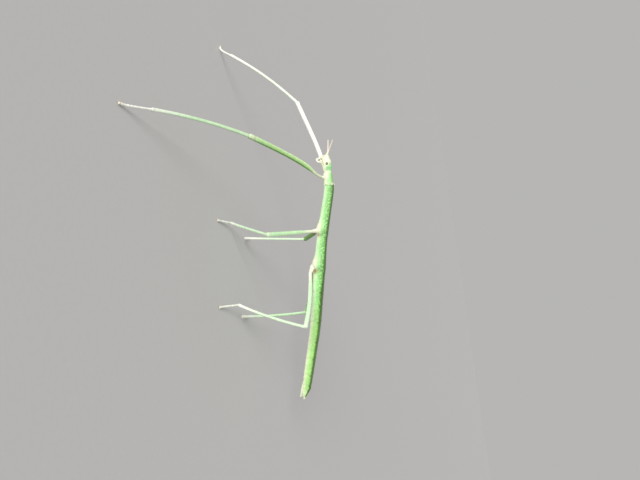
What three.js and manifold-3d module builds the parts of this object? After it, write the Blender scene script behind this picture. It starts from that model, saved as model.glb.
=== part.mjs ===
// A green stick insect nymph, standing on its six feet with its fore legs stretched out.
// Millimetres, +Z up. The head points to -X, the insect's left is -Y, and the feet stand on Z = 0.

import * as THREE from "three";
import { mergeVertices } from "three/addons/utils/BufferGeometryUtils.js";
import Module from "manifold-3d";

const wasm = await Module();
wasm.setup();

// Driving dimensions

const GAP = 0.04; // left between touching pieces
const BODY_SIDES = 16;
const LIMB_SIDES = 10;

const FRONT_OF_HEAD = new THREE.Vector3(-15.6, 0, 23.0); // X is measured from the middle coxae
const LINE_STEP = 0.05;

// How steeply the body falls toward the tail, by distance from the front of the head
const SLOPES = [
  { at: 0, degrees: 5 },
  { at: 5.5, degrees: 5.5 },
  { at: 8.5, degrees: 17 },
  { at: 15, degrees: 17 },
  { at: 20, degrees: 12.8 },
  { at: 32, degrees: 11.8 },
  { at: 38, degrees: 16.5 },
  { at: 51, degrees: 17 },
];

// Head stations: distance from the front, half height above and below the line, half width
const HEAD_LENGTH = 3.75;
const HEAD_STATIONS = [
  { at: 0.0, up: 0.26, down: 0.3, wide: 0.4 },
  { at: 0.2, up: 0.36, down: 0.68, wide: 0.6 },
  { at: 0.6, up: 0.44, down: 1.02, wide: 0.76 },
  { at: 1.1, up: 0.6, down: 1.26, wide: 0.86 },
  { at: 1.7, up: 0.85, down: 1.34, wide: 0.92 },
  { at: 2.3, up: 0.93, down: 1.26, wide: 0.93 },
  { at: 3.1, up: 0.93, down: 1.04, wide: 0.88 },
  { at: 3.75, up: 0.84, down: 0.92, wide: 0.78 },
];

// Trunk segments from front to rear: half height above and below the line and half width, each at
// the front and the rear end
const TRUNK = [
  { name: "prothorax", length: 2.3, up: [0.86, 0.98], down: [0.84, 0.86], wide: [0.78, 0.94] },
  { name: "mesothorax", length: 10.95, up: [1.16, 1.3], down: [0.86, 0.92], wide: [0.96, 1.12] },
  { name: "metathorax", length: 7.0, up: [1.26, 1.44], down: [0.92, 1.08], wide: [1.12, 1.24] },
  { name: "median_segment", length: 1.25, up: [1.42, 1.38], down: [1.08, 1.06], wide: [1.24, 1.22] },
  { name: "abdomen_2", length: 3.1, up: [1.38, 1.34], down: [1.06, 1.04], wide: [1.24, 1.22] },
  { name: "abdomen_3", length: 3.05, up: [1.34, 1.3], down: [1.04, 1.02], wide: [1.22, 1.2] },
  { name: "abdomen_4", length: 3.2, up: [1.3, 1.28], down: [1.02, 1.0], wide: [1.2, 1.18] },
  { name: "abdomen_5", length: 4.05, up: [1.28, 1.22], down: [0.98, 0.93], wide: [1.18, 1.13] },
  { name: "abdomen_6", length: 3.75, up: [1.22, 1.16], down: [0.93, 0.9], wide: [1.13, 1.08] },
  { name: "abdomen_7", length: 3.4, up: [1.16, 1.12], down: [0.9, 0.87], wide: [1.08, 1.0] },
  { name: "abdomen_8", length: 2.0, up: [1.1, 1.08], down: [0.86, 0.8], wide: [0.98, 0.88] },
  { name: "abdomen_9", length: 1.1, up: [1.06, 1.02], down: [0.76, 0.72], wide: [0.84, 0.76] },
  { name: "abdomen_10", length: 1.85, up: [0.98, 0.2], down: [0.68, 0.5], wide: [0.72, 0.44] },
];
const RIM = 0.05; // how far the ends of a segment stand out
const RIM_WIDTH = 0.28;
const WAIST = 0.03; // how far its middle is drawn in

// Legs, in pairs: the root's distance along the body and below its line, how far the trunk swells
// there and how far ahead of and behind it, all in coxa thicknesses, and the parts' sizes
const LEG_PAIRS = {
  fore: {
    root: { at: 5.05, below: 0.5, aside: 0.5, swell: 0.3, ahead: 0.9, behind: 1.2 },
    coxa: { length: 1.3, thick: 0.95 },
    reach: 19.6,
    femur: { base: 0.58, middle: 0.92, knee: 0.96, swell: 0.2 },
    tibia: { length: 18.7, thick: 0.58, bow: 0.5 },
    tarsus: 5.5,
  },
  mid: {
    root: { at: 15.85, below: 0.6, aside: 0.6, swell: 0.42, ahead: 1.4, behind: 0.6 },
    coxa: { length: 1.35, thick: 1.05 },
    reach: 12.3,
    femur: { base: 0.68, middle: 0.84, knee: 0.98, swell: 0.3 },
    tibia: { length: 13.8, thick: 0.56, bow: 0.2 },
    tarsus: 4.3,
  },
  hind: {
    root: { at: 23.0, below: 0.95, aside: 0.6, swell: 0.45, ahead: 1.3, behind: 0.5 },
    coxa: { length: 1.6, thick: 1.15 },
    reach: 14.3,
    femur: { base: 0.66, middle: 0.8, knee: 0.94, swell: 0.3 },
    tibia: { length: 15.6, thick: 0.54, bow: 0.35 },
    tarsus: 5.0,
  },
};

// The stance: where each ankle is, which way its knee bends, how far its coxa leans to the head and
// drops, how far its femur runs on in the coxa's direction and arches, and the heading of its toes
const LEGS = [
  {
    pair: "fore", side: "left", ankle: [-22.32, -31.12, 2.7],
    bend: [-0.94, 0.17, 0.29], lean: -0.26, drop: -0.28, bow: 5.59, middle: 0.2, arch: [0, 3, 1.85], sway: 0.23, toes: -95,
  },
  {
    pair: "fore", side: "right", ankle: [-41.85, 4.64, 3.5],
    bend: [-0.37, 0.56, 0.74], lean: 1.5, drop: 0.1, bow: 5, arch: [0, 0, 0.4], sway: -0.34, toes: 140,
  },
  {
    pair: "mid", side: "left", ankle: [-4.6, -2.2, 1.0],
    bend: [0.17, -0.98, 0.05], lean: 0, drop: 0.3, bow: 0.5, arch: [0, 0, 0], toes: -98,
  },
  {
    pair: "mid", side: "right", ankle: [-1.2, 3.9, 1.15],
    bend: [0.16, 0.97, 0.17], lean: 0, drop: 0.3, bow: 0.5, arch: [0, 0, 0], toes: 91,
  },
  {
    pair: "hind", side: "left", ankle: [12.3, -6.4, 2.0],
    bend: [0.71, -0.53, 0.46], lean: -0.2, drop: 0.43, bow: 0.5, arch: [0, 0, 0.95], toes: -95,
  },
  {
    pair: "hind", side: "right", ankle: [15.1, -3.0, 1.0],
    bend: [0.59, 0.804, 0.075], lean: -0.2, drop: 0.59, bow: 0.5, arch: [0, 0, 1.25], toes: 83,
  },
];

// Feet
const TARSOMERES = [0.36, 0.17, 0.13, 0.11, 0.23]; // shares of a tarsus
const TARSUS_THICK = 0.52;
const SOLE_HEIGHT = 0.19; // of a foot's centre line where it stands
const CLAW_LENGTH = 0.6;
const CLAW_THICK = 0.26;
const CLAW_SPREAD = 28;

// Feelers and mouth
const EYE = { at: 1.95, up: 0.05, aside: 0.74, radius: 0.36 };
const ANTENNA = { length: 3.1, thick: 0.5, aside: 0.27, up: 0.1, spread: 11 };
const ANTENNA_RAISE = { left: 28.5, right: 2 };
const PALP = { at: 1.85, down: 1.1, aside: 0.42, thick: 0.5, drop: 1.68, lean: 0.42, reach: 0.52, rise: 1 };
const LABRUM = { at: 0.32, down: 1.02, length: 0.62, wide: 0.92, thick: 0.5 };
const CERCUS = { length: 0.62, thick: 0.5, aside: 0.27, up: 0.02 };
const PLATE = { from: 46.2, length: 4.6, wide: 0.46, deep: 0.32, thin: 0.36, start: 0.5, end: 0.78 };

const MATERIALS = {
  body: new THREE.MeshStandardMaterial({ color: "#8fd06a", roughness: 0.5, metalness: 0 }),
  head: new THREE.MeshStandardMaterial({ color: "#c3e5a0", roughness: 0.5, metalness: 0 }),
  cream: new THREE.MeshStandardMaterial({ color: "#e6e3b4", roughness: 0.55, metalness: 0 }),
  femur: new THREE.MeshStandardMaterial({ color: "#7fd257", roughness: 0.5, metalness: 0 }),
  tibia: new THREE.MeshStandardMaterial({ color: "#b4e6a4", roughness: 0.5, metalness: 0 }),
  tarsus: new THREE.MeshStandardMaterial({ color: "#e8e6d2", roughness: 0.55, metalness: 0 }),
  pale: new THREE.MeshStandardMaterial({ color: "#eef2dc", roughness: 0.5, metalness: 0 }),
  claw: new THREE.MeshStandardMaterial({ color: "#8a6a45", roughness: 0.35, metalness: 0 }),
  feeler: new THREE.MeshStandardMaterial({ color: "#d9b9a6", roughness: 0.6, metalness: 0 }),
  eye: new THREE.MeshStandardMaterial({ color: "#5b6130", roughness: 0.25, metalness: 0 }),
};

// Geometry helpers

const UP = new THREE.Vector3(0, 0, 1);
const radians = THREE.MathUtils.degToRad;

// The value of a field at a place between two stations
function between(stations, place, field) {
  const last = stations.length - 1;
  if (place <= stations[0].at) return stations[0][field];
  if (place >= stations[last].at) return stations[last][field];
  const next = stations.findIndex((station) => station.at >= place);
  const [a, b] = [stations[next - 1], stations[next]];
  return THREE.MathUtils.lerp(a[field], b[field], (place - a.at) / (b.at - a.at));
}

// The body's line, as the points reached by small steps down its slopes
function bodyLine() {
  const length = HEAD_LENGTH + TRUNK.reduce((sum, segment) => sum + segment.length, 0);
  const points = [FRONT_OF_HEAD.clone()];
  for (let at = 0; at < length + 1; at += LINE_STEP) {
    const slope = radians(between(SLOPES, at + LINE_STEP / 2, "degrees"));
    const step = new THREE.Vector3(Math.cos(slope), 0, -Math.sin(slope)).multiplyScalar(LINE_STEP);
    points.push(points[points.length - 1].clone().add(step));
  }
  return points;
}

const LINE = bodyLine();

// A place on the body's line: its point, its direction toward the tail and the way up across it
function onLine(at) {
  const slope = radians(between(SLOPES, Math.max(at, 0), "degrees"));
  const along = new THREE.Vector3(Math.cos(slope), 0, -Math.sin(slope));
  const up = new THREE.Vector3(Math.sin(slope), 0, Math.cos(slope));
  const step = THREE.MathUtils.clamp(Math.floor(at / LINE_STEP), 0, LINE.length - 2);
  const point = LINE[step].clone().addScaledVector(along, at - step * LINE_STEP);
  return { point, along, up };
}

// One ring of a loft. Its section is a rounded box with its own reach up, down and to the sides
function ring(point, along, up, reach) {
  const across = new THREE.Vector3().crossVectors(along, up).normalize();
  const rise = new THREE.Vector3().crossVectors(across, along).normalize();
  const power = 2 / (reach.square ?? 2);
  return (x, z) => {
    const high = Math.sign(x) * Math.abs(x) ** power * (x > 0 ? reach.up : reach.down);
    const wide = Math.sign(z) * Math.abs(z) ** power * reach.wide;
    return point.clone().addScaledVector(rise, high).addScaledVector(across, wide);
  };
}

// A closed skin over a row of rings
function loft(rings, sides) {
  const geometry = new THREE.CylinderGeometry(1, 1, 1, sides, rings.length - 1);
  const points = geometry.attributes.position;
  for (let i = 0; i < points.count; i++) {
    const place = rings[Math.round((0.5 - points.getY(i)) * (rings.length - 1))];
    const spot = place(points.getX(i), points.getZ(i));
    points.setXYZ(i, spot.x, spot.y, spot.z);
  }
  return solid(geometry);
}

// A geometry as a solid that can be joined and cut
function solid(geometry) {
  geometry.deleteAttribute("normal");
  geometry.deleteAttribute("uv");
  const merged = mergeVertices(geometry, 1e-5);
  return new wasm.Manifold(
    new wasm.Mesh({
      numProp: 3,
      vertProperties: new Float32Array(merged.attributes.position.array),
      triVerts: new Uint32Array(merged.index.array),
    }),
  );
}

// A solid cut clear of a neighbour. Slivers past the neighbour's far side are dropped
function trim(body, neighbour) {
  const left = body.subtract(neighbour).decompose();
  return left.reduce((a, b) => (b.volume() > a.volume() ? b : a));
}

// A solid as a named mesh, placed at its own point
function piece(name, body, origin, material) {
  const { numProp, vertProperties, triVerts } = body.getMesh();
  const geometry = new THREE.BufferGeometry();
  const points = new Float32Array((vertProperties.length / numProp) * 3);
  for (let i = 0; i < points.length / 3; i++) {
    for (let axis = 0; axis < 3; axis++) points[i * 3 + axis] = vertProperties[i * numProp + axis];
  }
  geometry.setAttribute("position", new THREE.BufferAttribute(points, 3));
  geometry.setIndex(new THREE.BufferAttribute(new Uint32Array(triVerts), 1));
  geometry.translate(-origin.x, -origin.y, -origin.z);
  geometry.computeVertexNormals();
  const mesh = new THREE.Mesh(geometry, material);
  mesh.name = name;
  mesh.position.copy(origin);
  return mesh;
}

// A round-ended tube along a curve, with its half thickness from stations by share of its length
function tube(curve, stations, up, { grow = 0, sides = LIMB_SIDES, square = 2, floor = null } = {}) {
  const dome = 0.55;
  const first = stations[0];
  const last = stations[stations.length - 1];
  const places = [
    { share: 0, reach: first.thick / 2, dome: dome - 1 },
    ...stations.map((station) => ({ share: station.at, reach: station.thick / 2, dome: 0 })),
    { share: 1, reach: last.thick / 2, dome: 1 - dome },
  ];
  const rings = places.map(({ share, reach, dome }) => {
    const half = reach + grow;
    const along = curve.getTangentAt(THREE.MathUtils.clamp(share, 0.001, 0.999));
    const past = Math.sign(dome) * Math.sqrt(1 - (1 - Math.abs(dome)) ** 2) * half * 0.7;
    const point = curve.getPointAt(share).addScaledVector(along, past);
    const wide = dome === 0 ? half : half * (1 - Math.abs(dome)) ** 0.5;
    const place = ring(point, along, up, { up: wide, down: wide, wide, square });
    return floor === null ? place : (x, z) => place(x, z).setZ(Math.max(place(x, z).z, floor));
  });
  return loft(rings, sides);
}

// Trunk and head

const trunkStarts = {};
let reached = HEAD_LENGTH;
for (const segment of TRUNK) {
  trunkStarts[segment.name] = reached;
  reached += segment.length;
}

// How far the trunk swells around the leg roots
function rootSwelling(at) {
  return Object.values(LEG_PAIRS).reduce((sum, { root, coxa }) => {
    const spread = coxa.thick * (at < root.at ? root.ahead : root.behind);
    return sum + root.swell * coxa.thick * Math.exp(-(((at - root.at) / spread) ** 2));
  }, 0);
}

function trunkSegment({ name, length, up, down, wide }, grow = 0) {
  const start = trunkStarts[name];
  const from = start + GAP / 2 - grow;
  const to = start + length - GAP / 2 + grow;
  const middles = length > 5 ? [0.15, 0.35, 0.55, 0.72, 0.84, 0.94] : [0.5];
  const places = [0, ...middles, 1].map((share) => ({ share, rim: share === 0 || share === 1 ? 1 : 0 }));
  const rims = [RIM_WIDTH / length, 1 - RIM_WIDTH / length];
  if (length > 2.5) places.push(...rims.map((share) => ({ share, rim: 0 })));
  places.sort((a, b) => a.share - b.share);
  const rings = places.map(({ share, rim }) => {
    const at = THREE.MathUtils.lerp(from, to, share);
    const place = onLine(at);
    const swell = rootSwelling(at);
    const edge = grow + (rim ? RIM : -WAIST * Math.sin(Math.PI * share)) / 2;
    const reach = {
      up: THREE.MathUtils.lerp(...up, share) + edge,
      down: THREE.MathUtils.lerp(...down, share) + edge + swell,
      wide: THREE.MathUtils.lerp(...wide, share) + edge + swell,
      square: 2.2,
    };
    return ring(place.point, place.along, place.up, reach);
  });
  return loft(rings, BODY_SIDES);
}

function headSolid(grow = 0) {
  const rings = HEAD_STATIONS.map(({ at, up, down, wide }, i) => {
    const end = i === 0 ? -grow : i === HEAD_STATIONS.length - 1 ? grow - GAP / 2 : 0;
    const place = onLine(at);
    place.point.addScaledVector(place.along, end);
    const reach = { up: up + grow, down: down + grow, wide: wide + grow, square: 2.3 };
    return ring(place.point, place.along, place.up, reach);
  });
  return loft(rings, BODY_SIDES);
}

// A point beside the body's line, by its distance along it, above it and to one side
function beside(at, up, aside) {
  const place = onLine(at);
  const ahead = Math.min(at, 0);
  return place.point
    .addScaledVector(place.along, ahead)
    .addScaledVector(place.up, up)
    .add(new THREE.Vector3(0, aside, 0));
}

const SIDE = { left: -1, right: 1 };

function eyeSolid(hand) {
  const centre = beside(EYE.at, EYE.up, SIDE[hand] * EYE.aside);
  const ball = new THREE.SphereGeometry(EYE.radius, 12, 7);
  ball.rotateX(Math.PI / 2);
  ball.scale(1.1, 1, 1);
  ball.translate(centre.x, centre.y, centre.z);
  return { body: trim(solid(ball), headSolid(GAP)), centre };
}

function antennaSolid(hand) {
  const base = beside(0.1, ANTENNA.up, SIDE[hand] * ANTENNA.aside);
  const { along, up } = onLine(0);
  const raise = radians(ANTENNA_RAISE[hand]);
  const spread = radians(ANTENNA.spread);
  const ahead = along.clone().multiplyScalar(-Math.cos(raise)).addScaledVector(up, Math.sin(raise));
  const away = new THREE.Vector3(0, SIDE[hand] * Math.tan(spread), 0).add(ahead).normalize();
  const tip = base.clone().addScaledVector(away, ANTENNA.length);
  const stations = [
    { at: 0, thick: ANTENNA.thick },
    { at: 0.2, thick: ANTENNA.thick },
    { at: 1, thick: ANTENNA.thick },
  ];
  const body = tube(new THREE.LineCurve3(base, tip), stations, up, { sides: 7 });
  return { body: trim(body, headSolid(GAP)), base };
}

function palpSolid(hand) {
  const base = beside(PALP.at, -PALP.down, SIDE[hand] * PALP.aside);
  const { along, up } = onLine(PALP.at);
  const elbow = base.clone().addScaledVector(up, -PALP.drop).addScaledVector(along, -PALP.lean);
  const tip = elbow.clone().addScaledVector(along, -PALP.reach).addScaledVector(up, PALP.rise);
  const curve = new THREE.QuadraticBezierCurve3(base, elbow, tip);
  const stations = [0, 0.35, 0.7, 1].map((at) => ({ at, thick: PALP.thick }));
  const body = tube(curve, stations, new THREE.Vector3(0, 1, 0), { sides: 7 });
  return { body: trim(body, headSolid(GAP).add(labrumSolid(GAP))), base };
}

function labrumSolid(grow = 0) {
  const rings = [0, 0.5, 1].map((share) => {
    const drop = share * LABRUM.length;
    const { along, up } = onLine(LABRUM.at);
    const point = beside(LABRUM.at, -LABRUM.down + 0.4 - drop - grow * Math.sign(0.5 - share), 0);
    const half = LABRUM.thick / 2 + grow;
    const side = (LABRUM.wide / 2) * (1 - 0.35 * share ** 2) + grow;
    return ring(point, up.clone().negate(), along, { up: half, down: half, wide: side, square: 2.6 });
  });
  return loft(rings, 12);
}

function cercusSolid(hand) {
  const tail = reached - 0.35;
  const base = beside(tail, CERCUS.up, SIDE[hand] * CERCUS.aside);
  const { along, up } = onLine(tail);
  const tip = base.clone().addScaledVector(along, CERCUS.length);
  const stations = [
    { at: 0, thick: CERCUS.thick },
    { at: 0.6, thick: CERCUS.thick * 0.9 },
    { at: 1, thick: CERCUS.thick * 0.5 },
  ];
  const body = tube(new THREE.LineCurve3(base, tip), stations, up, { sides: 7 });
  return { body: trim(body, trunkSegment(TRUNK[TRUNK.length - 1], GAP)), base };
}

// The keel-shaped plate under the rear of the abdomen, which ends in a blunt point
function plateSolid() {
  const shares = [0, 0.12, 0.35, 0.6, 0.8, 0.93, 1];
  const rings = shares.map((share) => {
    const at = PLATE.from + share * PLATE.length;
    const { point, along, up } = onLine(at);
    const bulge = Math.sin(Math.PI * Math.min(share * 0.7 + 0.12, 1)) ** 0.7;
    const belly = THREE.MathUtils.lerp(PLATE.start, PLATE.end, share);
    point.addScaledVector(up, -belly);
    const wide = PLATE.wide * bulge;
    return ring(point, along, up, { up: PLATE.thin * 0.5, down: PLATE.deep * bulge, wide });
  });
  const near = TRUNK.filter(({ name }) => /_(7|8|9|10)$/.test(name));
  return near.reduce((body, segment) => trim(body, trunkSegment(segment, GAP)), loft(rings, 12));
}

// Legs

// The knee of a leg whose two long parts reach from its root to its ankle
function kneeOf(root, ankle, thigh, shin, bend) {
  const chord = ankle.clone().sub(root);
  const span = chord.length();
  chord.normalize();
  const along = (thigh ** 2 - shin ** 2 + span ** 2) / (2 * span);
  const out = bend.clone().addScaledVector(chord, -bend.dot(chord)).normalize();
  const rise = Math.sqrt(thigh ** 2 - along ** 2);
  return root.clone().addScaledVector(chord, along).addScaledVector(out, rise);
}

function legParts({ pair, side, ankle, bend, lean, drop, bow, middle = 0.5, arch, sway = 0, toes }) {
  const { root, coxa, reach, femur, tibia, tarsus } = LEG_PAIRS[pair];
  const hip = beside(root.at, -root.below, SIDE[side] * root.aside);
  const heel = new THREE.Vector3(...ankle);
  const up = new THREE.Vector3(...bend);
  const knee = kneeOf(hip, heel, reach, tibia.length, up);
  const out = knee.clone().sub(hip).normalize();
  const { along } = onLine(root.at);
  const lead = out.clone().addScaledVector(along, -lean).addScaledVector(UP, -drop);
  lead.normalize();
  const joint = hip.clone().addScaledVector(lead, coxa.length);
  const heading = new THREE.Vector3(Math.cos(radians(toes)), Math.sin(radians(toes)), 0);
  const slant = Math.sqrt(tarsus ** 2 - (heel.z - SOLE_HEIGHT) ** 2);
  const toe = heel.clone().setZ(SOLE_HEIGHT).addScaledVector(heading, slant * 0.97);
  const fall = heel.z - SOLE_HEIGHT;
  const instep = toe.clone().addScaledVector(heading, -slant * 0.7).addScaledVector(UP, fall * 0.65);
  const ball = toe.clone().addScaledVector(heading, -slant * 0.28).addScaledVector(UP, fall * 0.08);

  const coxaStations = [
    { at: 0, thick: coxa.thick },
    { at: 0.45, thick: coxa.thick * 0.95 },
    { at: 0.62, thick: coxa.thick * 0.74 },
    { at: 1, thick: coxa.thick * 0.78 },
  ];
  const femurStations = [
    { at: 0, thick: femur.base },
    { at: femur.swell * 0.45, thick: femur.base },
    { at: femur.swell, thick: femur.middle },
    { at: 0.6, thick: femur.middle },
    { at: 0.9, thick: (femur.middle + femur.knee) / 2 },
    { at: 1, thick: femur.knee },
  ];
  const tibiaStations = [
    { at: 0, thick: tibia.thick * 1.2 },
    { at: 0.07, thick: tibia.thick },
    { at: 0.35, thick: tibia.thick },
    { at: 0.65, thick: tibia.thick },
    { at: 0.9, thick: tibia.thick },
    { at: 1, thick: tibia.thick * 1.16 },
  ];
  const tarsusStations = [{ at: 0, thick: TARSUS_THICK }];
  let done = 0;
  for (const share of TARSOMERES) {
    done += share;
    tarsusStations.push({ at: done - 0.04, thick: TARSUS_THICK * 1.18 });
    tarsusStations.push({ at: Math.min(done, 1), thick: TARSUS_THICK });
  }
  tarsusStations.push({ at: 0.86, thick: TARSUS_THICK * 1.1 });
  tarsusStations.sort((a, b) => a.at - b.at);

  const thighLine = new THREE.CubicBezierCurve3(
    joint,
    joint.clone().addScaledVector(lead, bow),
    joint.clone().lerp(knee, middle).add(new THREE.Vector3(...arch)),
    knee,
  );
  const shin = heel.clone().sub(knee).normalize();
  const shinArch = up.clone().addScaledVector(shin, -up.dot(shin)).setLength(2 * tibia.bow);
  const shinSide = shin.clone().cross(shinArch).setLength(2 * sway);
  const shinMiddle = knee.clone().lerp(heel, 0.5).add(shinArch).add(shinSide);
  const shinLine = new THREE.QuadraticBezierCurve3(knee, shinMiddle, heel);
  const footLine = new THREE.CubicBezierCurve3(heel, instep, ball, toe);
  const hipLine = new THREE.LineCurve3(hip, joint);
  return {
    ...{ side, pair, hip, joint, knee, heel, toe, up, heading, hipLine, thighLine, shinLine, footLine },
    ...{ coxaStations, femurStations, tibiaStations, tarsusStations },
  };
}

function clawSolid({ toe, heading }) {
  const across = new THREE.Vector3().crossVectors(heading, UP);
  const pad = new THREE.SphereGeometry(0.21, 7, 5);
  pad.rotateX(Math.PI / 2);
  pad.translate(toe.x + heading.x * 0.28, toe.y + heading.y * 0.28, toe.z + 0.02);
  let body = solid(pad);
  for (const turn of [-1, 1]) {
    const angle = radians(turn * CLAW_SPREAD);
    const way = heading.clone().multiplyScalar(Math.cos(angle)).addScaledVector(across, Math.sin(angle));
    const base = toe.clone().addScaledVector(heading, 0.2).addScaledVector(UP, 0.06);
    const arch = base.clone().addScaledVector(way, CLAW_LENGTH * 0.6).addScaledVector(UP, 0.12);
    const tip = base.clone().addScaledVector(way, CLAW_LENGTH).setZ(0.12);
    const stations = [
      { at: 0, thick: CLAW_THICK },
      { at: 0.6, thick: CLAW_THICK * 0.8 },
      { at: 1, thick: CLAW_THICK * 0.4 },
    ];
    body = body.add(tube(new THREE.QuadraticBezierCurve3(base, arch, tip), stations, UP, { sides: 6 }));
  }
  return body;
}

function leg(stance) {
  const parts = legParts(stance);
  const { side, pair, hip, joint, knee, heel, toe, up } = parts;
  const name = (part) => `${part}_${side}_${pair}`;
  const square = 2.6;
  const near = TRUNK.filter((segment) => {
    const start = trunkStarts[segment.name];
    return LEG_PAIRS[pair].root.at > start - 2.5 && LEG_PAIRS[pair].root.at < start + segment.length + 2.5;
  });
  const coxa = (grow) => tube(parts.hipLine, parts.coxaStations, UP, { grow });
  const femur = (grow) => tube(parts.thighLine, parts.femurStations, up, { grow, square });
  const tibia = (grow) => tube(parts.shinLine, parts.tibiaStations, up, { grow, sides: 8 });
  const tarsus = (grow) =>
    tube(parts.footLine, parts.tarsusStations, UP, { grow, sides: 8, square: 2.8, floor: grow ? null : 0 });

  const trunk = near.reduce((body, segment) => body.add(trunkSegment(segment, GAP)), headSolid(GAP));
  const legGroup = new THREE.Group();
  const pale = pair === "fore" && side === "right";
  const femurMaterial = pale ? MATERIALS.pale : MATERIALS.femur;
  const tibiaMaterial = pale ? MATERIALS.pale : MATERIALS.tibia;
  legGroup.add(
    piece(name("coxa"), trim(coxa(0), trunk), hip, MATERIALS.cream),
    piece(name("femur"), trim(femur(0), coxa(GAP).add(trunk)), joint, femurMaterial),
    piece(name("tibia"), trim(tibia(0), femur(GAP)), knee, tibiaMaterial),
    piece(name("tarsus"), trim(tarsus(0), tibia(GAP)), heel, MATERIALS.tarsus),
    piece(name("claws"), trim(clawSolid(parts), tarsus(GAP)), toe, MATERIALS.claw),
  );
  return legGroup;
}

// The whole insect

const insect = new THREE.Group();
const headGroup = new THREE.Group();
headGroup.add(
  piece("head", headSolid(), FRONT_OF_HEAD, MATERIALS.head),
  piece("labrum", trim(labrumSolid(), headSolid(GAP)), FRONT_OF_HEAD, MATERIALS.cream),
);
for (const hand of ["left", "right"]) {
  const eye = eyeSolid(hand);
  const antenna = antennaSolid(hand);
  const palp = palpSolid(hand);
  headGroup.add(
    piece(`eye_${hand}`, eye.body, eye.centre, MATERIALS.eye),
    piece(`antenna_${hand}`, antenna.body, antenna.base, MATERIALS.feeler),
    piece(`palp_${hand}`, palp.body, palp.base, MATERIALS.cream),
  );
}
insect.add(headGroup);

const trunkGroup = new THREE.Group();
for (const segment of TRUNK) {
  const { point } = onLine(trunkStarts[segment.name]);
  trunkGroup.add(piece(segment.name, trunkSegment(segment), point, MATERIALS.body));
}
trunkGroup.add(piece("subgenital_plate", plateSolid(), onLine(PLATE.from).point, MATERIALS.cream));
for (const hand of ["left", "right"]) {
  const { body, base } = cercusSolid(hand);
  trunkGroup.add(piece(`cercus_${hand}`, body, base, MATERIALS.cream));
}
insect.add(trunkGroup);

for (const stance of LEGS) insect.add(leg(stance));

// The origin is on the floor under the middle of the insect's box
const box = new THREE.Box3().setFromObject(insect);
const middle = box.getCenter(new THREE.Vector3());
insect.position.set(-middle.x, -middle.y, 0);

export default insect;
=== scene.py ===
import math

import bmesh
import bpy
from mathutils import Matrix, Vector, noise


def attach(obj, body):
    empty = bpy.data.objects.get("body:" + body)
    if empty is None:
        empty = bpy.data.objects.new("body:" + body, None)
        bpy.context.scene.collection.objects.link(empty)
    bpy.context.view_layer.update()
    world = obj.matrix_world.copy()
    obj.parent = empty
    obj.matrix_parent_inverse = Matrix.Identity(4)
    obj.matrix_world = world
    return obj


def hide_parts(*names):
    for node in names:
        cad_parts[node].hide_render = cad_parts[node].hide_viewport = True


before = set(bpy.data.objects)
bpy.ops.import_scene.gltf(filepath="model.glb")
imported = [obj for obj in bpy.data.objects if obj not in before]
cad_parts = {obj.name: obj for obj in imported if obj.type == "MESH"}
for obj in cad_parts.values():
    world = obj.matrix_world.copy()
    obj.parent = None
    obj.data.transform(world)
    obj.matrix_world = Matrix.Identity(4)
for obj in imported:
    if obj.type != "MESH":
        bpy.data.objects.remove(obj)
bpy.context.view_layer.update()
print("frame loaded")

mm = 0.001  # the sizes below are millimetres, Blender works in metres
upward = Vector((0, 0, 1))
handSide = {"left": -1, "right": 1}

# The body's line falls toward the tail. Distances run along it from the front of the head
bodyLine = {
    "front": (-15.6, 0.0, 23.0),  # X from the middle coxae
    "origin": (5.9392, 12.5832, 0.0),  # the middle coxae's place in the frame
    "step": 0.05,
    "length": 51.6,
    # degrees of fall at a distance
    "slopes": ((0, 5), (5.5, 5.5), (8.5, 17), (15, 17), (20, 12.8), (32, 11.8), (38, 16.5), (51, 17)),
}


def mix(a, b, share):
    return a + (b - a) * share


def clamp(value, low=0.0, high=1.0):
    return max(low, min(high, value))


def ease(value, low, high):  # smooth rise from 0 at low to 1 at high
    share = clamp((value - low) / (high - low))
    return share * share * (3 - 2 * share)


def bell(value, centre, width):  # smooth bump of height 1
    return math.exp(-(((value - centre) / width) ** 2))


def turn(angle, centre):  # how far one angle is from another, from -pi to pi
    return (angle - centre + math.pi) % (2 * math.pi) - math.pi


def ridgesAt(angle, centres, width):  # 1 on each of the lines along a limb
    return sum(bell(turn(angle, centre), 0, width) for centre in centres)


def along(rows, place):  # a value between rows of (place, value)
    if place <= rows[0][0]:
        return rows[0][1]
    for (a, low), (b, high) in zip(rows, rows[1:]):
        if place <= b:
            return mix(low, high, (place - a) / (b - a))
    return rows[-1][1]


def walkLine():
    points = [Vector(bodyLine["front"])]
    while (len(points) - 1) * bodyLine["step"] < bodyLine["length"]:
        slope = math.radians(along(bodyLine["slopes"], (len(points) - 0.5) * bodyLine["step"]))
        points.append(points[-1] + Vector((math.cos(slope), 0, -math.sin(slope))) * bodyLine["step"])
    return points


linePoints = walkLine()


def onLine(at):  # point, way to the tail and way up, at a distance along the body
    slope = math.radians(along(bodyLine["slopes"], max(at, 0)))
    way = Vector((math.cos(slope), 0, -math.sin(slope)))
    rise = Vector((math.sin(slope), 0, math.cos(slope)))
    index = min(max(int(at / bodyLine["step"]), 0), len(linePoints) - 1)
    return linePoints[index] + way * (at - index * bodyLine["step"]), way, rise


def beside(at, up=0.0, aside=0.0):
    point, way, rise = onLine(at)
    return point + rise * up + Vector((0, aside, 0))


def smoothPath(controls, steps=120):  # a Bezier curve, walked by its length
    points = []
    for i in range(steps + 1):
        row = [Vector(c) for c in controls]
        while len(row) > 1:
            row = [a.lerp(b, i / steps) for a, b in zip(row, row[1:])]
        points.append(row[0])
    reached = [0.0]
    for a, b in zip(points, points[1:]):
        reached.append(reached[-1] + (b - a).length)
    return {"points": points, "reached": reached, "length": reached[-1]}


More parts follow.
